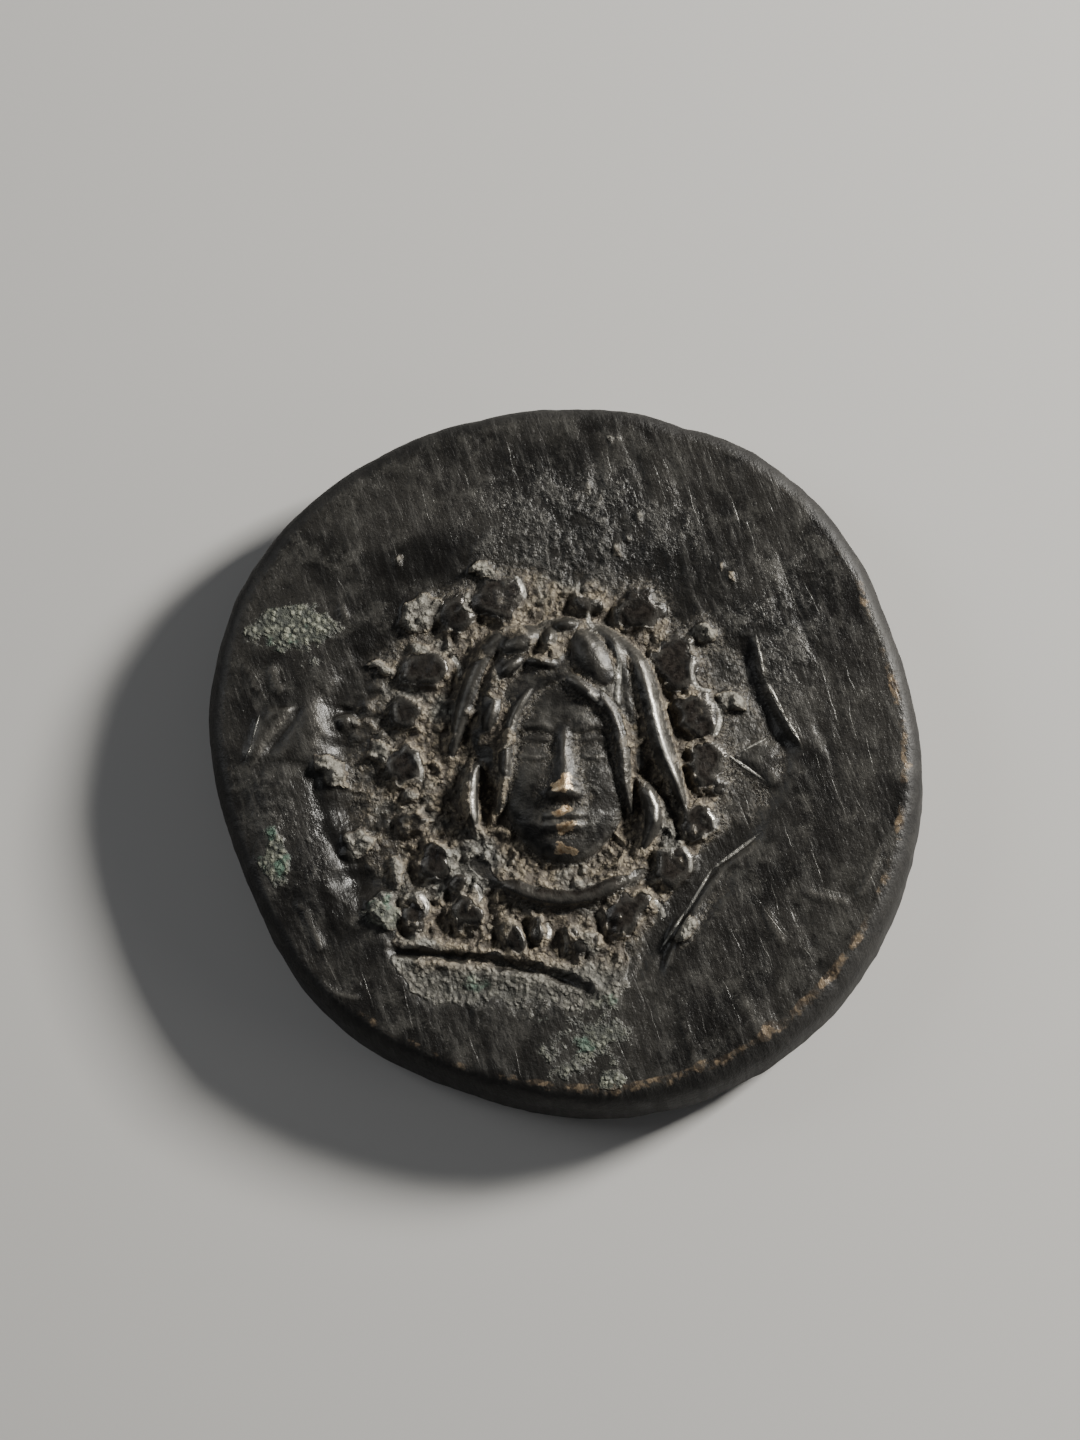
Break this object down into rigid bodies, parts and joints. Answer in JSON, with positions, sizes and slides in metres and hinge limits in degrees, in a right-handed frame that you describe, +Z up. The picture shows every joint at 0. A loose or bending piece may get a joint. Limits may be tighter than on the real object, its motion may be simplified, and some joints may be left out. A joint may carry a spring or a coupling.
{
  "type": "bronze coin",
  "caption": "Worn bronze coin lying flat: a facing head ringed by shield scales on an uneven blank, with a plain palm branch on the back.",
  "frame": {"origin": "on the surface the coin lies on, below the middle of its outline", "axes": "+Z up out of the side with the head, +Y towards the top of the head, +X to the right of the head as it is seen"},
  "size_m": [0.0216, 0.0216, 0.0035],
  "materials": {
    "bronze": "dark worn bronze patina, smooth on the field, dull where dirt lies in the relief"
  },
  "bodies": {
    "root": {"coin": "bronze"}
  },
  "joints": []
}
